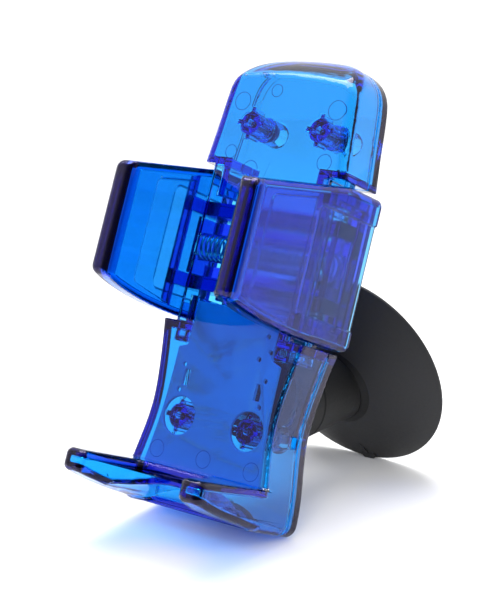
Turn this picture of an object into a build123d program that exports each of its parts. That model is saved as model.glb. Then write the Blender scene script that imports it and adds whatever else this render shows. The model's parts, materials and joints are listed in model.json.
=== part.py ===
"""Phone cradle with spring-loaded side jaws, carried by a ball joint on a suction cup.

The cradle is modelled in its own frame: X to the right, Y up along the cradle and Z out of
the front plate, with Z = 0 on the plate's outer face and Y = 0 at its bottom edge. The ball
joint is modelled about the ball's centre with Z along the neck, towards the cradle, and the
cup about its mouth with Z out of the mouth. Each group is then set in the object's frame:
+Z up, the cradle facing -Y, standing on z = 0 with the origin in the middle of its footprint.
"""

from build123d import *
from math import asin, cos, radians, sin
import os

# How the object stands, in degrees.
LEAN = 22.65
CUP_TILT = 19.3

# Cradle body.
DEPTH = 18.0
SEAM = 13.0
SEAM_GAP = 0.05
WALL = 2.0
PLATE = 2.3
BOTTOM = 12.2
TOP = 119.8
HEEL_HALF = 24.2
HEEL_ROUND = 3.6
WAIST_HALF = 21.3
SHOULDER_HALF = 24.3
CURVE_STEPS = 12
CROWN_ROUND = 5.0
RIM_ROUND = 3.0
INNER_ROUND = 1.0
WAIST_ROUND = 1.0
BACK_ROUND = 1.2
POCKET_HALF = 17.0
POCKET_LOW = 39.0
POCKET_HIGH = 84.5
PLATE_POCKET_HALF = 19.6
CROWN_CENTRE = -9.5
CROWN_FRONT_RISE = 111.5
CROWN_BACK_RISE = 119.9

# Feet under the phone.
FOOT_REACH = 28.2
FOOT_TOP = 0.5
FOOT_TIP_BOTTOM = 7.4
FOOT_TIP_INNER = 16.8
FOOT_TIP_OUTER = 23.6
FOOT_ROUND = 1.8
NOTCH_HALF = 11.5
NOTCH_BACK = 8.2
ARCH_HALF = 19.6
ARCH_RISE = 6.9
ARCH_BACK = -4.0

# Backing plate.
PLATE_THICK = 1.2
PLATE_HOLE_R = 0.65
SLOT_LOW = 21.7
SLOT_HIGH = 26.2

# Screws that hold the two covers together.
BOSS_X = 11.8
BOSS_LOW = 13.2
BOSS_HIGH = 97.2
BOSS_R = 3.1
BOSS_HOLE_R = 1.15
BOSS_END = 9.5
RIB_SPAN = 8.7
RIB_THICK = 1.0
TUBE_R = 3.7
TUBE_COUNTERBORE_R = 2.6
TUBE_FLOOR = 11.2
SCREW_R = 1.1
SCREW_HEAD_R = 2.3
SCREW_HEAD_H = 1.8
SCREW_TIP = 4.5

# Jaws.
JAW_LOW = 40.0
JAW_HIGH = 83.2
JAW_TIP_LOW = 45.0
JAW_TIP_HIGH = 75.4
JAW_FRONT = 36.0
JAW_BACK = 17.3
JAW_ROOT_INNER = 20.0
JAW_ROOT_OUTER = 27.2
JAW_TIP_INNER = 17.4
JAW_TIP_OUTER = 24.1
JAW_ROUND = 2.6
JAW_CLEAR = 0.4
TIP_WALL = 5.0
PANEL_FRONT = 9.2
PANEL_LOW = 46.0
PANEL_HIGH = 75.5
PANEL_DEEP = 0.6
WINDOW_BACK = 5.6
WINDOW_FRONT = 23.2
WINDOW_LOW = 42.6
WINDOW_HIGH = 77.6
WINDOW_DEEP = 0.5

# Slides inside the body, one on each jaw, and the spring between their end walls.
SLIDE_BACK = 14.5
SLIDE_FRONT = 2.8
LOW_ARM_FRONT = 11.6
END_WALL_BACK = 11.2
END_WALL_IN = 22.4
END_WALL_OUT = 24.2
SLIDE_ROOT_IN = 20.4
SLIDE_ROOT_OUT = 24.5
BASE_BACK = 3.0
BASE_FRONT = 5.0
SPRING_Y = 61.1
SPRING_DEEP = 6.9
SPRING_R = 3.6
WIRE_R = 0.4
SPRING_TURNS = 27

# Ball joint and stud.
BALL_Y = 24.0
BALL_DEEP = 30.5
BALL_R = 8.0
BALL_FIT = 0.05
STUD_R = 3.5
STUD_THREAD_R = 3.9
NECK_LENGTH = 25.8
RING_BACK = 5.0
NECK_RING_R = 12.4
NECK_END_R = 11.0
SEAT_R = 9.5

# Suction cup.
CUP_R = 32.24
HUB_FACE = 10.0
HUB_R = 13.0
COLLAR_TOP = 11.3
COLLAR_TOP_R = 11.2
CORE_R = 4.0
LIP_BACK = 0.4
TAB_R = 31.3
TAB_WIDE = 4.6
TAB_TURN = -4

WAIST_POINTS = [
    (HEEL_HALF, -BOTTOM + HEEL_ROUND), (22.7, 4.2), (WAIST_HALF, 14.2), (22.1, 26.2),
    (SHOULDER_HALF, POCKET_LOW),
]
LOBE_POINTS = [
    (SHOULDER_HALF, POCKET_HIGH), (22.95, 96), (21.9, 106), (20.5, 111.4), (17.5, 115.1),
    (9.4, 118.6), (0, TOP),
]
BOSSES = [(x, y) for y in (BOSS_LOW, BOSS_HIGH) for x in (-BOSS_X, BOSS_X)]


def block(x, y, z):
    """A box from (low, high) pairs along each axis."""
    size = [high - low for low, high in (x, y, z)]
    middle = [(high + low) / 2 for low, high in (x, y, z)]
    return Pos(*middle) * Box(*size)


def rod(x, y, low, high, radius):
    """A cylinder along Z from low to high."""
    return Pos(x, y, (low + high) / 2) * Cylinder(radius, high - low)


def edges_within(shape, y=(-200, 200), z=(-200, 200), tall=0, deep=0):
    """The edges inside a slab, at least tall along Y and deep along Z."""
    found = []
    for edge in shape.edges():
        box = edge.bounding_box()
        inside = y[0] < box.min.Y and box.max.Y < y[1] and z[0] < box.min.Z and box.max.Z < z[1]
        if inside and box.size.Y >= tall and box.size.Z >= deep:
            found.append(edge)
    return found


def both_sides(face):
    return face + mirror(face, about=Plane.YZ)


def follow(points, first, last, inset):
    """A smooth curve through points, moved inwards (to its left) by inset."""
    path = Spline(*points, tangents=[first, last])
    if not inset:
        return path
    moved = []
    for step in range(CURVE_STEPS + 1):
        along = path % (step / CURVE_STEPS)
        moved.append(path @ (step / CURVE_STEPS) + Vector(-along.Y, along.X, 0) * inset)
    return Spline(*moved)


def body_outline(inset):
    """The body seen from the front: waisted below the jaws, pockets beside them, round top."""
    low = -BOTTOM + inset
    side = HEEL_HALF - inset
    heel = side - HEEL_ROUND + inset
    bulge = (HEEL_ROUND - inset) * (1 - cos(radians(45)))
    waist = follow(WAIST_POINTS, (0, 1), (0.21, 1), inset)
    lobe = follow(LOBE_POINTS, (-0.12, 1), (-1, 0), inset)
    edges = [
        Line((0, low), (heel, low)),
        ThreePointArc((heel, low), (side - bulge, low + bulge), waist @ 0),
        waist,
        Line(waist @ 1, lobe @ 0),
        lobe,
        Line(lobe @ 1, (0, low)),
    ]
    face = both_sides(make_face(edges))
    height = POCKET_HIGH - POCKET_LOW + 2 * inset
    for sign in (-1, 1):
        centre = (sign * (POCKET_HALF - inset + 10), (POCKET_HIGH + POCKET_LOW) / 2)
        face -= Pos(*centre) * Rectangle(20, height)
    return face


def inset_face(face, inset):
    return offset(face, amount=-inset) if inset else face


def crown(inset):
    """A wide dished disc whose rim cuts the top of the body: it falls towards the front."""
    back = CROWN_BACK_RISE - CROWN_CENTRE - inset
    front = CROWN_FRONT_RISE - CROWN_CENTRE - inset
    profile = make_face(
        [
            Line((0, -DEPTH - 5), (back, -DEPTH - 5)),
            Line((back, -DEPTH - 5), (back, -DEPTH)),
            ThreePointArc((back, -DEPTH), (front + 5.6, -7), (front, 0)),
            Line((front, 0), (front, FOOT_REACH + 5)),
            Line((front, FOOT_REACH + 5), (0, FOOT_REACH + 5)),
            Line((0, FOOT_REACH + 5), (0, -DEPTH - 5)),
        ]
    )
    return Pos(0, CROWN_CENTRE, 0) * revolve(Plane.XZ * profile, Axis.Z, 360)


def arch(grow):
    """The arched hollow under the middle of the base, open to the front."""
    low = -BOTTOM - 0.3
    face = make_face(
        [
            ThreePointArc((-ARCH_HALF - grow, low), (0, low + ARCH_RISE + grow), (ARCH_HALF + grow, low)),
            Line((ARCH_HALF + grow, low), (ARCH_HALF + grow, low - 5)),
            Line((ARCH_HALF + grow, low - 5), (-ARCH_HALF - grow, low - 5)),
            Line((-ARCH_HALF - grow, low - 5), (-ARCH_HALF - grow, low)),
        ]
    )
    back = ARCH_BACK - grow
    return Pos(0, 0, back) * extrude(face, FOOT_REACH + 5 - back)


def feet(inset):
    """The base with two feet: a plan cut by a side profile."""
    right = [
        (8.5, NOTCH_BACK),
        (NOTCH_HALF, 11.5),
        (FOOT_TIP_INNER, FOOT_REACH),
        (FOOT_TIP_OUTER, FOOT_REACH),
        (HEEL_HALF + 0.9, -DEPTH),
    ]
    left = [(-x, z) for x, z in reversed(right)]
    plan = make_face(Polyline(*right, *left, close=True))
    plan = fillet([corner for corner in plan.vertices() if corner.Y > FOOT_REACH - 0.1], 2.5)
    plan = fillet([corner for corner in plan.vertices() if 5 < corner.Y < 12], 3)
    top = -FOOT_TOP - inset
    tip = FOOT_REACH - inset
    side = make_face(
        [
            Line((top + 0.7, -DEPTH), (top - 1.1, tip)),
            Line((top - 1.1, tip), (-FOOT_TIP_BOTTOM + inset, tip)),
            Spline(
                (-FOOT_TIP_BOTTOM + inset, tip),
                (-9.7 + inset, 17),
                (-11.2 + inset, 5),
                (-12.0 + inset, -7),
                (-BOTTOM + inset, -DEPTH),
            ),
            Line((-BOTTOM + inset, -DEPTH), (top + 0.7, -DEPTH)),
        ]
    )
    plan_block = extrude(Plane.XZ * inset_face(plan, inset), 30, both=True)
    side_block = extrude(Plane.YZ * side, 40, both=True)
    form = plan_block & side_block
    if inset:
        return form
    loops = []
    for edge in form.edges():
        box = edge.bounding_box()
        if box.max.Z > 1 - DEPTH and max(box.size.X, box.size.Z) > 0.3:
            loops.append(edge)
    return fillet(loops, FOOT_ROUND)


def rounded_front(main, front, crown_round, rim_round):
    """Rounds the crown, then the front rim of the top."""
    crown_edge = edges_within(main, y=(POCKET_HIGH + 5, TOP + 1), z=(-DEPTH + 0.5, 1), deep=1)
    main = fillet(crown_edge, crown_round)
    top_rim = edges_within(main, y=(POCKET_HIGH - 1, TOP), z=(-front - 0.1, -front + 0.1), tall=0.5)
    return fillet(top_rim, rim_round)


def body(inset, front):
    """The closed outer form, or the space inside it when inset."""
    outline = body_outline(inset)
    back = -DEPTH + inset
    main = Pos(0, 0, back) * extrude(outline, -front - back) & crown(inset)
    base = Pos(0, 0, back) * extrude(outline, FOOT_REACH + 5 - back)
    if inset:
        return rounded_front(main, front, INNER_ROUND, INNER_ROUND) + (feet(inset) & base) - arch(inset)
    main = rounded_front(main, front, CROWN_ROUND, RIM_ROUND)
    main = fillet(edges_within(main, y=(-BOTTOM, POCKET_LOW + 1), z=(-0.1, 0.1), tall=8), WAIST_ROUND)
    whole = main + (feet(inset) & base)
    return fillet(edges_within(whole, z=(back - 0.1, back + 0.1)), BACK_ROUND) - arch(inset)


def covers():
    """The two shells, cut apart at the seam, before their bosses."""
    shell = body(0, 0) - body(WALL, PLATE)
    for side in (-1, 1):
        inner, outer = sorted((side * (POCKET_HALF - WALL), side * PLATE_POCKET_HALF))
        shell += block((inner, outer), (POCKET_LOW, POCKET_HIGH), (-PLATE, 0))
        gate = sorted((side * (POCKET_HALF - WALL - 1), side * (POCKET_HALF + 1)))
        shell -= block(gate, (46.5, 75.7), (-DEPTH + WALL, -PLATE))
    wide = (-60, 60)
    front = shell & block(wide, (-20, 140), (-SEAM, 40))
    back = shell & block(wide, (-20, 140), (-DEPTH - 1, -SEAM - SEAM_GAP))
    return front, back


def front_cover(shell):
    for x, y in BOSSES:
        shell += rod(x, y, -BOSS_END, -PLATE, BOSS_R)
        shell += block((x - RIB_SPAN / 2, x + RIB_SPAN / 2), (y - RIB_THICK / 2, y + RIB_THICK / 2),
                       (-BOSS_END + 2, -PLATE))
        shell += block((x - RIB_THICK / 2, x + RIB_THICK / 2), (y - RIB_SPAN / 2, y + RIB_SPAN / 2),
                       (-BOSS_END + 2, -PLATE))
        shell -= rod(x, y, -BOSS_END - 1, -PLATE, BOSS_HOLE_R)
    for side in (-1, 1):
        x = side * 17.4
        shell += block((x - 2.2, x + 2.2), (33.7, 38), (-SEAM + 1, -PLATE))
        shell -= block((x - 1.2, x + 1.2), (34.7, 37), (-SEAM, -PLATE))
    shell -= block((WAIST_HALF - 4, WAIST_HALF + 2), (11.6, 14.8), (-12, -9.6))
    return shell


def rear_cover(shell):
    floor = -DEPTH + WALL
    for x, y in BOSSES:
        shell += rod(x, y, floor, -BOSS_END - 0.2, TUBE_R)
        shell -= rod(x, y, -DEPTH - 1, -TUBE_FLOOR, TUBE_COUNTERBORE_R)
        shell -= rod(x, y, -DEPTH - 1, 0, BOSS_HOLE_R + 0.15)
    for low, high, top in ((46.9, 48, -9), (74.2, 75.3, -9), (50, 51, -14.7), (71.2, 72.2, -14.7),
                           (54.2, 55.2, -14.7), (67, 68, -14.7)):
        shell += block((-14.5, 14.5), (low, high), (floor, top))
    shell -= rod(0, BALL_Y, -DEPTH - 1, floor + 1, STUD_THREAD_R + 0.2)
    return shell


def backing_plate():
    """Thin plate inside the lower half, lying against the front plate."""
    sides = Spline((20.3, -3.2), (19.5, 2.5), (18.7, 8), (18.0, 15), (17.6, 24), (17.5, 32))
    outline = Polyline((17.5, 32), (14.6, 33), (14.6, 45.5), (0, 45.5), (0, -3.2), (20.3, -3.2))
    plate = extrude(both_sides(make_face([sides, outline])), PLATE_THICK)
    for side in (-1, 1):
        plate -= rod(side * BOSS_X, BOSS_LOW, -1, 3, 5.4)
        plate -= rod(side * 14, SLOT_LOW - 1.5, -1, 3, PLATE_HOLE_R)
        plate -= rod(side * 14, SLOT_HIGH + 1.2, -1, 3, PLATE_HOLE_R)
        plate -= block((side * 12.45 - 0.95, side * 12.45 + 0.95), (SLOT_LOW, SLOT_HIGH), (-1, 3))
    for x, y in ((10.3, 32.8), (11.7, 39.3), (13.5, 35.2)):
        plate -= rod(x, y, -1, 3, PLATE_HOLE_R)
    return Pos(0, 0, -PLATE - PLATE_THICK) * plate


def cover_screws():
    screws = []
    for x, y in BOSSES:
        head = rod(x, y, -TUBE_FLOOR - SCREW_HEAD_H, -TUBE_FLOOR, SCREW_HEAD_R)
        head -= block((x - 1.6, x + 1.6), (y - 0.25, y + 0.25), (-TUBE_FLOOR - 3, -TUBE_FLOOR - 1))
        head -= block((x - 0.25, x + 0.25), (y - 1.6, y + 1.6), (-TUBE_FLOOR - 3, -TUBE_FLOOR - 1))
        screws.append(head + rod(x, y, -TUBE_FLOOR, -SCREW_TIP, SCREW_R))
    return Compound(children=screws)


def face_x(tip, root, z):
    """Where a slanting jaw wall is at depth z."""
    share = (z + JAW_BACK) / (JAW_FRONT + JAW_BACK)
    return root + (tip - root) * share


def jaw_form(inset, back):
    """The jaw's outer form on the right side, or its hollow when inset."""
    section = make_face(
        Polyline(
            (JAW_ROOT_INNER, -back),
            (JAW_ROOT_INNER, JAW_CLEAR),
            (JAW_TIP_INNER, JAW_FRONT),
            (JAW_TIP_OUTER, JAW_FRONT),
            (face_x(JAW_TIP_OUTER, JAW_ROOT_OUTER, -back), -back),
            close=True,
        )
    )
    low = JAW_LOW + inset
    high = JAW_HIGH - inset
    tip_low = JAW_TIP_LOW + inset
    tip_high = JAW_TIP_HIGH - inset
    side = make_face(
        [
            Line((low, -back), (low, -4)),
            Spline((low, -4), (low + 1.5, 21), (tip_low, JAW_FRONT), tangents=[(0, 1), (0.4, 1)]),
            Polyline((tip_low, JAW_FRONT), (tip_high, JAW_FRONT), (high, -4), (high, -back), (low, -back)),
        ]
    )
    across = extrude(Plane.XZ * inset_face(section, inset), 120, both=True)
    along = extrude(Plane.YZ * side, 60, both=True)
    form = across & along
    if inset:
        return form
    rim = edges_within(form, z=(JAW_FRONT - 0.1, JAW_FRONT + 0.1))
    rim += [edge for edge in edges_within(form, deep=10) if edge.bounding_box().max.X > JAW_TIP_OUTER]
    return fillet(rim, JAW_ROUND)


def jaw():
    hollow = jaw_form(WALL, JAW_BACK + 6) & block((0, 60), (0, 120), (-60, JAW_FRONT - TIP_WALL))
    shell = jaw_form(0, JAW_BACK) - hollow
    shell -= block((15, JAW_ROOT_INNER + WALL + 0.3), (44.5, 78.7), (-JAW_BACK - 1, -SLIDE_FRONT + 0.4))
    front_x = face_x(JAW_TIP_OUTER, JAW_ROOT_OUTER, PANEL_FRONT) - PANEL_DEEP
    back_x = face_x(JAW_TIP_OUTER, JAW_ROOT_OUTER, -JAW_BACK - 1) - PANEL_DEEP
    panel = make_face(Polyline((front_x, PANEL_FRONT), (40, PANEL_FRONT), (40, -JAW_BACK - 1),
                               (back_x, -JAW_BACK - 1), close=True))
    panel = extrude(Plane.XZ * panel, 100, both=True)
    corner = block((0, 50), (PANEL_LOW, PANEL_HIGH), (-JAW_BACK - 2, PANEL_FRONT))
    corner = fillet(corner.edges().filter_by(Axis.X).sort_by(Axis.Z)[-2:], 2.5)
    shell -= panel & corner
    slope = (JAW_ROOT_INNER - JAW_TIP_INNER) / (JAW_FRONT - JAW_CLEAR)
    near = JAW_ROOT_INNER - slope * (WINDOW_BACK - JAW_CLEAR) + WINDOW_DEEP
    far = JAW_ROOT_INNER - slope * (WINDOW_FRONT - JAW_CLEAR) + WINDOW_DEEP
    window = make_face(Polyline((10, WINDOW_BACK), (near, WINDOW_BACK), (far, WINDOW_FRONT),
                                (10, WINDOW_FRONT), close=True))
    window = extrude(Plane.XZ * window, 100, both=True)
    sides = make_face(Polyline((WINDOW_LOW, WINDOW_BACK), (WINDOW_LOW + 2.7, WINDOW_FRONT),
                               (WINDOW_HIGH - 3.6, WINDOW_FRONT), (WINDOW_HIGH, WINDOW_BACK), close=True))
    sides = fillet(sides.vertices().sort_by(Axis.Y)[-2:], 2)
    return shell - (window & extrude(Plane.YZ * sides, 30))


def slide_base():
    """The plate that closes the jaw's hollow just in front of the body."""
    hollow = jaw_form(WALL + 0.02, JAW_BACK + 6)
    return hollow & block((0, 60), (0, 120), (BASE_BACK, BASE_FRONT))


def riser(low, high):
    """A web from the slide's root up to its base plate, inside the jaw's hollow."""
    hollow = jaw_form(WALL + 0.02, JAW_BACK + 6)
    return hollow & block((0, 60), (low, high), (-SLIDE_FRONT, BASE_BACK + 0.5))


def slide_back(*posts):
    """The wall that closes the jaw's hollow behind the slide's root, on short posts."""
    hollow = jaw_form(WALL + 0.02, JAW_BACK + 6)
    wall = hollow & block((0, 60), (0, 120), (-SLIDE_BACK - 2, -SLIDE_BACK - 0.2))
    for low, high in posts:
        wall += block((END_WALL_IN, END_WALL_OUT), (low, high), (-SLIDE_BACK - 0.4, -SLIDE_BACK + 0.4))
    return wall


def inner_slide():
    """The right jaw's slide: low arms near the spring, ending in a wall on the far side."""
    slide = slide_base() + slide_back((58, 64))
    arms = ((53, 56.5), (65.7, 69.2))
    slide += block((SLIDE_ROOT_IN, SLIDE_ROOT_OUT), (44.8, 78.4), (-SLIDE_BACK, -LOW_ARM_FRONT))
    for low, high in ((42.3, 46.3), (76.9, 80.9)):
        slide += block((SLIDE_ROOT_IN + 1.9, SLIDE_ROOT_OUT - 0.3), (low, high), (-SLIDE_BACK, -SLIDE_FRONT))
        slide += riser(low, high)
    for low, high in arms:
        slide += block((-END_WALL_OUT, SLIDE_ROOT_IN), (low, high), (-SLIDE_BACK, -LOW_ARM_FRONT))
    slide += block((-END_WALL_OUT, -END_WALL_IN), (arms[0][0], arms[1][1]), (-SLIDE_BACK, -SLIDE_FRONT))
    return slide


def outer_slide():
    """The left jaw's slide, drawn for the right side and mirrored: tall arms outside the others."""
    arms = ((48.5, 52.5), (69.7, 73.7))
    slide = slide_base() + slide_back(*arms)
    for low, high in arms:
        slide += block((-19.8, SLIDE_ROOT_OUT - 0.3), (low, high), (-SLIDE_BACK, -SLIDE_FRONT))
        slide += block((-END_WALL_OUT, -19), (low, high), (-END_WALL_BACK, -SLIDE_FRONT))
        slide += riser(low, high)
    slide += block((-END_WALL_OUT, -END_WALL_IN), (48.5, 73.7), (-END_WALL_BACK, -SLIDE_FRONT))
    return mirror(slide, about=Plane.YZ)


def jaw_spring():
    """One long compression spring between the two end walls."""
    length = 2 * (END_WALL_IN - 0.05) - 2 * WIRE_R
    path = Helix(length / SPRING_TURNS, length, SPRING_R)
    section = Plane(path @ 0, z_dir=path % 0) * Circle(WIRE_R)
    coil = sweep(section, path, is_frenet=True)
    return Pos(-length / 2, SPRING_Y, -SPRING_DEEP) * Rot(0, 90, 0) * coil


def ring(*points):
    """A body of revolution about Z from (radius, height) corners."""
    return revolve(Plane.XZ * make_face(Polyline(*points, close=True)), Axis.Z, 360)


def mount_plate():
    plate = rod(0, BALL_Y, -DEPTH - 2, -DEPTH, 13)
    plate = chamfer(plate.edges().filter_by(GeomType.CIRCLE).sort_by(Axis.Z)[0], 0.6)
    return plate - rod(0, BALL_Y, -DEPTH - 3, 0, STUD_THREAD_R + 0.2)


def ball_stud():
    ball = Pos(0, BALL_Y, -BALL_DEEP) * Sphere(BALL_R)
    stud = rod(0, BALL_Y, -BALL_DEEP, -DEPTH - 2, STUD_R)
    shoulder = rod(0, BALL_Y, -DEPTH - 3.4, -DEPTH - 2, 6.5)
    thread = rod(0, BALL_Y, -DEPTH - 2, -8.3, STUD_THREAD_R)
    return ball + stud + shoulder + thread


def stud_washer():
    floor = -DEPTH + WALL
    return rod(0, BALL_Y, floor, floor + 1.2, 8) - rod(0, BALL_Y, floor - 1, floor + 3, STUD_THREAD_R + 0.2)


def stud_nut():
    floor = -DEPTH + WALL + 1.2
    nut = extrude(RegularPolygon(6.5, 6, major_radius=False), 5.5)
    nut = Pos(0, BALL_Y, floor) * nut
    return nut - rod(0, BALL_Y, floor - 1, floor + 8, STUD_THREAD_R + 0.05)


def lock_nut():
    """The threaded ring that clamps the ball, with a flared mouth for the stud."""
    return ring(
        (11.1, -RING_BACK + 0.1), (NECK_RING_R - 0.35, -RING_BACK + 0.1), (NECK_RING_R, -RING_BACK + 0.45),
        (NECK_RING_R, 3.4), (NECK_RING_R - 0.6, 4.8), (NECK_RING_R - 1.9, 5.6), (8.9, 5.6), (7.9, 4.15),
        (SEAT_R + 0.1, 4.15), (SEAT_R + 0.1, 0.3), (11.1, 0.3),
    )


def seat_half(low, high):
    """A plastic seat that bears on the ball between two heights."""
    return rod(0, 0, low, high, SEAT_R) - Sphere(BALL_R + BALL_FIT)


def neck():
    """The fixed half of the socket, drawn from the ball to past the hub; the hub face trims it."""
    return ring(
        (0, -NECK_LENGTH - 12), (NECK_END_R - 0.4, -NECK_LENGTH - 12), (NECK_END_R, -NECK_LENGTH + 3),
        (NECK_RING_R, -RING_BACK - 0.4), (NECK_RING_R - 0.35, -RING_BACK), (11, -RING_BACK), (11, 0),
        (SEAT_R + 0.1, 0), (SEAT_R + 0.1, -9.7), (0, -9.7),
    )


def hub_collar():
    """The bevelled ring between the neck and the rubber."""
    return ring((CORE_R + 0.2, -COLLAR_TOP), (COLLAR_TOP_R, -COLLAR_TOP), (HUB_R, -HUB_FACE),
                (CORE_R + 0.2, -HUB_FACE))


def pull_tab():
    """The nib that lifts the lip, and the web that ties it to the dish."""
    half = TAB_WIDE / 2
    nib = block((-half, half), (TAB_R - 2.2, TAB_R), (-2.6, -1.2))
    nib = fillet(nib.edges().filter_by(Axis.Z), 0.9)
    web = make_face(Polyline((24.5, -4), (24.5, -5.3), (29.3, -3.1), (29.3, -1.5), close=True))
    return Rot(0, 0, TAB_TURN) * (nib + extrude(Plane.YZ * web, 0.4, both=True))


def suction_cup():
    """The rubber dish: thick at the hub and thin at the lip, with a small pull tab below."""
    outer = Spline((HUB_R, -HUB_FACE), (21.5, -6.6), (28.5, -3.0), (CUP_R - 0.15, -0.9))
    inner = Spline((CUP_R - 1.7, 0), (24, -2.2), (13, -4.6), (0, -5.6))
    profile = make_face(
        [
            Line((0, -HUB_FACE), (HUB_R, -HUB_FACE)),
            outer,
            ThreePointArc((CUP_R - 0.15, -0.9), (CUP_R, -LIP_BACK), (CUP_R - 0.5, 0)),
            Line((CUP_R - 0.5, 0), (CUP_R - 1.7, 0)),
            inner,
            Line((0, -5.6), (0, -HUB_FACE)),
        ]
    )
    dish = revolve(Plane.XZ * profile, Axis.Z, 360)
    dish += pull_tab()
    return dish - rod(0, 0, -HUB_FACE - 1, -8.2, CORE_R + 0.01) - rod(0, 0, -8.2, -6.6, 9)


def cup_core():
    """The insert moulded into the rubber, with the post that carries the neck."""
    post = rod(0, 0, -8.2, -6.6, 8.99) + rod(0, 0, -16, -8.2, CORE_R)
    return post - rod(0, 0, -17, -8.5, 2)


def core_screw():
    screw = rod(0, 0, -18, -9, 1.9) + rod(0, 0, -20.4, -18, 3.5)
    return screw - block((-1.9, 1.9), (-0.4, 0.4), (-21, -19.4))


def core_washer():
    return rod(0, 0, -18, -17, 3.9) - rod(0, 0, -19, -16, 2)


lean = radians(LEAN)
tilt = radians(CUP_TILT)
lift = BOTTOM * cos(lean) + DEPTH * sin(lean)
cradle_frame = Plane((0, 0, lift), x_dir=(1, 0, 0), z_dir=(0, -cos(lean), sin(lean)))
ball_centre = cradle_frame.from_local_coords(Vector(0, BALL_Y, -BALL_DEEP))
hub_height = CUP_R * cos(tilt) + LIP_BACK * sin(tilt) - HUB_FACE * sin(tilt)
neck_drop = asin((ball_centre.Z - hub_height) / NECK_LENGTH)
neck_frame = Plane(ball_centre, x_dir=(1, 0, 0), z_dir=(0, -cos(neck_drop), sin(neck_drop)))
mouth = Vector(0, cos(tilt), sin(tilt))
cup_centre = neck_frame.from_local_coords(Vector(0, 0, -NECK_LENGTH)) + mouth * HUB_FACE
cup_frame = Plane(cup_centre, x_dir=(1, 0, 0), z_dir=mouth)

front_shell, rear_shell = covers()
cradle_parts = {
    "front_cover": front_cover(front_shell),
    "rear_cover": rear_cover(rear_shell),
    "backing_plate": backing_plate(),
    "cover_screws": cover_screws(),
    "jaw_right": jaw(),
    "jaw_left": mirror(jaw(), about=Plane.YZ),
    "slide_right": inner_slide(),
    "slide_left": outer_slide(),
    "jaw_spring": jaw_spring(),
    "mount_plate": mount_plate(),
    "ball_stud": ball_stud(),
    "stud_washer": stud_washer(),
    "stud_nut": stud_nut(),
}
joint_parts = {
    "lock_nut": lock_nut(),
    "front_seat": seat_half(0.15, 4.0),
    "rear_seat": seat_half(-9.6, -0.15),
}
cup_parts = {
    "hub_collar": hub_collar(),
    "suction_cup": suction_cup(),
    "cup_core": cup_core(),
    "core_washer": core_washer(),
    "core_screw": core_screw(),
}

placed = {}
for frame, group in ((cradle_frame, cradle_parts), (neck_frame, joint_parts), (cup_frame, cup_parts)):
    for name, solid in group.items():
        placed[name] = frame.location * solid

keep = cup_frame.location * block((-60, 60), (-60, 60), (-80, -COLLAR_TOP))
screw_way = rod(0, 0, -17, 0, CORE_R + 0.2) + rod(0, 0, -30, -17, 4.2)
placed["socket_neck"] = (neck_frame.location * neck() & keep) - cup_frame.location * screw_way

boxes = [solid.bounding_box() for solid in placed.values()]
footprint = (min(box.min.Y for box in boxes) + max(box.max.Y for box in boxes)) / 2
to_origin = Pos(0, -footprint, 0)

os.makedirs("parts", exist_ok=True)
for name, solid in placed.items():
    export_step(to_origin * solid, f"parts/{name}.step")
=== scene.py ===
"""Looks for a translucent blue phone cradle on a black ball joint and suction cup."""
import json
import math

import bpy
from mathutils import Matrix, Vector


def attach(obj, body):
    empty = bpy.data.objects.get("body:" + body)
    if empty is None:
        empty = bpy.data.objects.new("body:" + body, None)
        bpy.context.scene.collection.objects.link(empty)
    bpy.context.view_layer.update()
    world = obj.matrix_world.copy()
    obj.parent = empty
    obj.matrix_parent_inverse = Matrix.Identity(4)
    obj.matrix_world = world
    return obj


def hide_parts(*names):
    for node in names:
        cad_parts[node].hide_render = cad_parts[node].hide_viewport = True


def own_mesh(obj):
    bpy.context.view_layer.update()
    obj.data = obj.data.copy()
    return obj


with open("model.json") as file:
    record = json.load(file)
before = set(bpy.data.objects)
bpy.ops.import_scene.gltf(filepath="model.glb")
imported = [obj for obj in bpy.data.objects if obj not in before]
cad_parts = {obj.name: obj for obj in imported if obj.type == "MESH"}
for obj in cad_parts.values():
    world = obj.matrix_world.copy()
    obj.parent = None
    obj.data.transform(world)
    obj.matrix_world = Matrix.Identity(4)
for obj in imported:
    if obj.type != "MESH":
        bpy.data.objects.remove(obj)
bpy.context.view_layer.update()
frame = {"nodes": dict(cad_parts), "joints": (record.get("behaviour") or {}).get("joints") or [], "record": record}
scene = bpy.context.scene

MM = 0.001

# The camera looks down a little from the viewer's right.
CAMERA_PLACE = Vector((0.28601, -0.37348, 0.17670))
CAMERA_LOOK = Vector((-0.5942, 0.7676, -0.2402)).normalized()
CAMERA_LENS = 104.9

# The cradle's own frame: across, up along the front plate, and out of it.
LEAN = math.radians(22.65)
BALL_Y = 24.0
BALL_DEEP = 30.5
ACROSS = Vector((1, 0, 0))
ALONG = Vector((0, math.sin(LEAN), math.cos(LEAN)))
OUT = Vector((0, -math.cos(LEAN), math.sin(LEAN)))
ball = next(Vector(joint["pos_m"]) for joint in frame["joints"] if joint["name"] == "cradle_swivel")
origin = ball - ALONG * BALL_Y * MM + OUT * BALL_DEEP * MM
CRADLE = Matrix.Translation(origin) @ Matrix((ACROSS, ALONG, OUT)).transposed().to_4x4()

# Sizes in millimetres, in the cradle's own frame, close to the CAD model's.
PLATE_INSIDE = -2.3
SPRING_Y = 61.1
SPRING_DEEP = 6.9
SPRING_R = 3.6
WIRE_R = 0.4
SPRING_TURNS = 27
SPRING_HALF = 22.3

PLASTIC_IOR = 1.49
GLOSS_TINT = (0.66, 0.56, 1, 1)
EDGE_ROUND = 0.45 * MM
THIN_EDGE_ROUND = 0.3 * MM
STEPS_PER_TURN = 24
MARK_STEPS = 40
MARK_WIRE = 0.08 * MM

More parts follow.
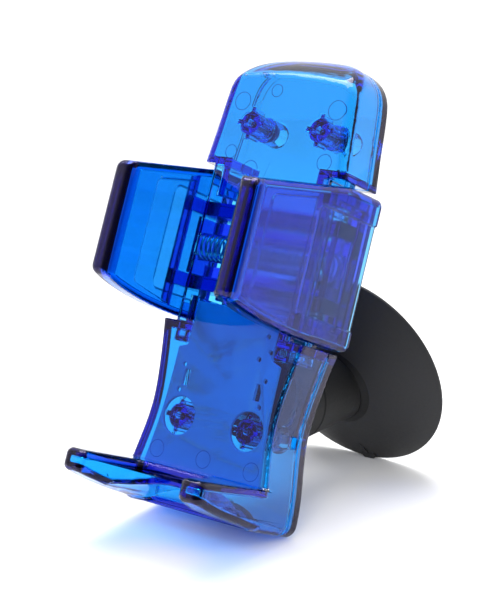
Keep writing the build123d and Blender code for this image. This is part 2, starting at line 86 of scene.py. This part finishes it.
# The world's strength behind the camera and beyond the object, where the one turns into the other,
# and how far the backdrop reaches overhead.
ROOM_LEVEL = 0.10
BACKDROP_LEVEL = 1.2
BACKDROP_START = -0.75
BACKDROP_FULL = 0.15
BACKDROP_OVERHEAD = 0.35


def new_material(name):
    """A material with a Principled shader, and its nodes and links."""
    material = bpy.data.materials.new(name)
    material.use_nodes = True
    return material, material.node_tree.nodes, material.node_tree.links


def uneven(nodes, links, shader, scale, strength, distance, detail=4.0):
    """Fine unevenness on a moulded surface."""
    place = nodes.new("ShaderNodeTexCoord")
    noise = nodes.new("ShaderNodeTexNoise")
    noise.inputs["Scale"].default_value = scale
    noise.inputs["Detail"].default_value = detail
    bump = nodes.new("ShaderNodeBump")
    bump.inputs["Strength"].default_value = strength
    bump.inputs["Distance"].default_value = distance
    links.new(place.outputs["Object"], noise.inputs["Vector"])
    links.new(noise.outputs["Fac"], bump.inputs["Height"])
    links.new(bump.outputs["Normal"], shader.inputs["Normal"])
    return noise


def clear_plastic(name, absorb, density, tint, roughness, shadow):
    """Dyed clear plastic: its colour deepens with the length of plastic that light crosses.

    Its shadows let lamp light through, coloured by shadow."""
    material, nodes, links = new_material(name)
    shader = nodes["Principled BSDF"]
    shader.inputs["Base Color"].default_value = (*tint, 1)
    shader.inputs["Transmission Weight"].default_value = 1.0
    shader.inputs["Roughness"].default_value = roughness
    shader.inputs["IOR"].default_value = PLASTIC_IOR
    shader.inputs["Specular Tint"].default_value = GLOSS_TINT
    uneven(nodes, links, shader, 90, 0.06, 0.0002, 2.0)
    path = nodes.new("ShaderNodeLightPath")
    through = nodes.new("ShaderNodeBsdfTransparent")
    through.inputs["Color"].default_value = (*shadow, 1)
    mix = nodes.new("ShaderNodeMixShader")
    volume = nodes.new("ShaderNodeVolumeAbsorption")
    volume.inputs["Color"].default_value = (*absorb, 1)
    volume.inputs["Density"].default_value = density
    out = nodes["Material Output"]
    links.new(path.outputs["Is Shadow Ray"], mix.inputs["Fac"])
    links.new(shader.outputs["BSDF"], mix.inputs[1])
    links.new(through.outputs["BSDF"], mix.inputs[2])
    links.new(mix.outputs["Shader"], out.inputs["Surface"])
    links.new(volume.outputs["Volume"], out.inputs["Volume"])
    return material


def solid(name, colour, roughness, metallic=0.0, grain=400, bump=0.1, spread=0.15, specular=0.5):
    """An opaque material whose colour and roughness vary a little."""
    material, nodes, links = new_material(name)
    shader = nodes["Principled BSDF"]
    shader.inputs["Specular IOR Level"].default_value = specular
    shader.inputs["Metallic"].default_value = metallic
    noise = uneven(nodes, links, shader, grain, bump, 0.0001)
    ramp = nodes.new("ShaderNodeValToRGB")
    ramp.color_ramp.elements[0].color = (*[c * (1 - spread) for c in colour], 1)
    ramp.color_ramp.elements[1].color = (*[min(1, c * (1 + spread)) for c in colour], 1)
    rough = nodes.new("ShaderNodeMapRange")
    rough.inputs["To Min"].default_value = roughness * 0.85
    rough.inputs["To Max"].default_value = min(1, roughness * 1.15)
    links.new(noise.outputs["Fac"], ramp.inputs["Fac"])
    links.new(noise.outputs["Fac"], rough.inputs["Value"])
    links.new(ramp.outputs["Color"], shader.inputs["Base Color"])
    links.new(rough.outputs["Result"], shader.inputs["Roughness"])
    return material


cover_blue = clear_plastic("cover_blue", absorb=(0.0, 0.76, 0.965), density=1000,
                           tint=(1, 0.96, 1), roughness=0.03, shadow=(0.88, 0.85, 0.92))
jaw_blue = clear_plastic("jaw_blue", absorb=(0.0, 0.74, 0.96), density=1250,
                         tint=(0.98, 0.86, 0.97), roughness=0.08, shadow=(0.74, 0.68, 0.76))
slide_blue = clear_plastic("slide_blue", absorb=(0.35, 0.25, 0.93), density=1100,
                           tint=(0.96, 0.78, 0.96), roughness=0.12, shadow=(0.6, 0.55, 0.6))
plate_grey = solid("plate_grey", (0.42, 0.44, 0.62), 0.5, spread=0.05)
steel = solid("bright_steel", (0.62, 0.63, 0.65), 0.22, metallic=1.0, grain=900, bump=0.05)
screw_steel = solid("screw_steel", (0.10, 0.09, 0.13), 0.35, metallic=1.0, grain=900, bump=0.05)
black_plastic = solid("black_plastic", (0.004, 0.004, 0.0042), 0.6, grain=1800, bump=0.35, specular=0.3)
black_rubber = solid("black_rubber", (0.013, 0.013, 0.014), 0.65, grain=1200, bump=0.25)
nylon = solid("seat_nylon", (0.72, 0.72, 0.68), 0.45)
mark_blue = solid("mark_blue", (0.004, 0.03, 0.25), 0.3, spread=0.1)

LOOK = {
    "clear_blue": cover_blue,
    "plate_grey": plate_grey,
    "steel": steel,
    "black_plastic": black_plastic,
    "black_rubber": black_rubber,
    "seat_nylon": nylon,
}
SPECIAL = {
    "jaw_left": jaw_blue,
    "jaw_right": jaw_blue,
    "slide_left": slide_blue,
    "slide_right": slide_blue,
    "cover_screws": screw_steel,
}
slot_of = {part["node"]: part["material_slot"] for part in frame["record"]["subparts"]}


def dress(thing, material):
    """Gives a piece one material in place of the one that it came with."""
    thing.data.materials.clear()
    thing.data.materials.append(material)


def round_edges(thing, width, segments=3):
    """Welds the solid's triangles, clears its flat faces and rounds its sharp edges."""
    weld = thing.modifiers.new("weld", "WELD")
    weld.merge_threshold = 1e-6
    flat = thing.modifiers.new("flat", "DECIMATE")
    flat.decimate_type = "DISSOLVE"
    flat.angle_limit = math.radians(1.0)
    bevel = thing.modifiers.new("bevel", "BEVEL")
    bevel.width = width
    bevel.segments = segments
    bevel.limit_method = "ANGLE"
    bevel.angle_limit = math.radians(35)
    bevel.use_clamp_overlap = False
    smooth = thing.modifiers.new("smooth", "WEIGHTED_NORMAL")
    smooth.keep_sharp = True


for name, thing in frame["nodes"].items():
    dress(thing, SPECIAL.get(name, LOOK[slot_of[name]]))

for name in ("front_cover", "rear_cover", "jaw_left", "jaw_right"):
    round_edges(frame["nodes"][name], EDGE_ROUND)
for name in ("slide_left", "slide_right", "backing_plate"):
    round_edges(frame["nodes"][name], THIN_EDGE_ROUND, segments=2)


def add_mesh(name, points, faces, material):
    """A smooth-shaded mesh object with one material."""
    mesh = bpy.data.meshes.new(name)
    mesh.from_pydata([tuple(p) for p in points], [], faces)
    mesh.polygons.foreach_set("use_smooth", [True] * len(mesh.polygons))
    mesh.materials.append(material)
    thing = bpy.data.objects.new(name, mesh)
    scene.collection.objects.link(thing)
    return thing


def tube(path, radius, sides, closed):
    """Points and faces of a round wire along a path of points."""
    points, faces = [], []
    count = len(path)
    for index, here in enumerate(path):
        before = path[(index - 1) % count] if closed or index else here
        after = path[(index + 1) % count] if closed or index < count - 1 else here
        along = (after - before).normalized()
        side = along.cross(Vector((0.3, 0.2, 0.93))).normalized()
        other = along.cross(side)
        for step in range(sides):
            turn = 2 * math.pi * step / sides
            points.append(here + (side * math.cos(turn) + other * math.sin(turn)) * radius)
    for index in range(count if closed else count - 1):
        following = (index + 1) % count
        for step in range(sides):
            right = (step + 1) % sides
            faces.append((index * sides + step, following * sides + step,
                          following * sides + right, index * sides + right))
    if not closed:
        faces.append(tuple(range(sides)))
        faces.append(tuple(reversed(range((count - 1) * sides, count * sides))))
    return points, faces


def spring_half(name, sign):
    """Half of the coil spring, fixed to the cradle at one length; the real spring shortens as the jaw on the other
    side is pulled out.
    """
    steps = STEPS_PER_TURN * SPRING_TURNS // 2
    path = []
    for step in range(steps + 1):
        share = step / steps
        turn = math.pi * SPRING_TURNS * share
        x = sign * share * (SPRING_HALF - WIRE_R)
        y = SPRING_Y + SPRING_R * math.cos(turn)
        z = -SPRING_DEEP + SPRING_R * math.sin(turn) * sign
        path.append(CRADLE @ (Vector((x, y, z)) * MM))
    points, faces = tube(path, WIRE_R * MM, sides=8, closed=False)
    half = add_mesh(name, points, faces, steel)
    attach(half, "cradle")
    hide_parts("jaw_spring")
    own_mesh(half)


spring_half("spring_left_half", -1)
spring_half("spring_right_half", 1)

# Round marks that the mould's ejector pins left on the inside of the front plate.
PIN_MARKS = [
    (16.1, 103.2, 2.75), (-16.1, 103.2, 2.6), (16.0, 88.5, 2.3), (-16.0, 88.5, 1.9),
    (-8.1, 84.1, 2.5), (-5.2, 107.1, 1.8), (16.4, 3.0, 2.5), (-16.4, 3.0, 2.4), (0, 3.1, 2.4),
]


def pin_marks():
    """Thin rings, as one piece, on the front plate's inner face."""
    all_points, all_faces = [], []
    for x, y, radius in PIN_MARKS:
        path = []
        for step in range(MARK_STEPS):
            turn = 2 * math.pi * step / MARK_STEPS
            spot = Vector((x + radius * math.cos(turn), y + radius * math.sin(turn), PLATE_INSIDE))
            path.append(CRADLE @ (spot * MM))
        points, faces = tube(path, MARK_WIRE, sides=6, closed=True)
        start = len(all_points)
        all_points += points
        all_faces += [tuple(corner + start for corner in face) for face in faces]
    marks = add_mesh("pin_marks", all_points, all_faces, mark_blue)
    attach(marks, "cradle")


pin_marks()


def add_camera():
    data = bpy.data.cameras.new("camera")
    data.lens = CAMERA_LENS
    camera = bpy.data.objects.new("camera", data)
    scene.collection.objects.link(camera)
    camera.location = CAMERA_PLACE
    camera.rotation_euler = CAMERA_LOOK.to_track_quat("-Z", "Y").to_euler()
    scene.camera = camera


def add_light(name, place, aim, size, power, seen=True):
    """A square lamp. One that isn't seen lights matt surfaces, but adds no highlight."""
    data = bpy.data.lights.new(name, "AREA")
    data.size = size
    data.energy = power
    light = bpy.data.objects.new(name, data)
    light.visible_glossy = seen
    light.visible_transmission = seen
    light.location = place
    light.rotation_euler = (Vector(aim) - Vector(place)).to_track_quat("-Z", "Y").to_euler()
    scene.collection.objects.link(light)


def add_floor():
    """A white table that ends just in front of the object and runs far behind it."""
    ahead = Vector((CAMERA_LOOK.x, CAMERA_LOOK.y, 0)).normalized()
    right = Vector((ahead.y, -ahead.x, 0))
    near, far, half = -0.22, 0.78, 1.5
    corners = [ahead * near - right * half, ahead * near + right * half,
               ahead * far + right * half, ahead * far - right * half]
    material, nodes, links = new_material("floor")
    nodes["Principled BSDF"].inputs["Base Color"].default_value = (0.70, 0.70, 0.70, 1)
    nodes["Principled BSDF"].inputs["Roughness"].default_value = 0.6
    nodes["Principled BSDF"].inputs["Specular IOR Level"].default_value = 0.2
    floor = add_mesh("floor", corners, [(0, 1, 2, 3)], material)


def add_world():
    """A bright backdrop beyond the object and overhead, and a darker room behind the camera.

    The room lights the object, but where it is seen directly it is a white backdrop too."""
    world = bpy.data.worlds.new("studio")
    world.use_nodes = True
    nodes, links = world.node_tree.nodes, world.node_tree.links
    back = nodes["Background"]
    place = nodes.new("ShaderNodeTexCoord")
    dot = nodes.new("ShaderNodeVectorMath")
    dot.operation = "DOT_PRODUCT"
    dot.inputs[1].default_value = (CAMERA_LOOK.x, CAMERA_LOOK.y, BACKDROP_OVERHEAD)
    level = nodes.new("ShaderNodeMapRange")
    level.interpolation_type = "SMOOTHSTEP"
    level.inputs["From Min"].default_value = BACKDROP_START
    level.inputs["From Max"].default_value = BACKDROP_FULL
    level.inputs["To Min"].default_value = ROOM_LEVEL
    level.inputs["To Max"].default_value = BACKDROP_LEVEL
    seen = nodes.new("ShaderNodeLightPath")
    shown = nodes.new("ShaderNodeMath")
    shown.operation = "MAXIMUM"
    links.new(place.outputs["Generated"], dot.inputs[0])
    links.new(dot.outputs["Value"], level.inputs["Value"])
    links.new(level.outputs["Result"], shown.inputs[0])
    links.new(seen.outputs["Is Camera Ray"], shown.inputs[1])
    links.new(shown.outputs["Value"], back.inputs["Strength"])
    back.inputs["Color"].default_value = (1, 1, 1, 1)
    scene.world = world


scene.view_settings.view_transform = "Standard"
add_world()
add_camera()
add_floor()
add_light("top", (-0.15, 0.10, 0.75), (0, 0, 0.03), size=0.6, power=8)
add_light("fill", (0.45, -0.65, 0.5), (0, 0, 0.05), size=0.5, power=7, seen=False)
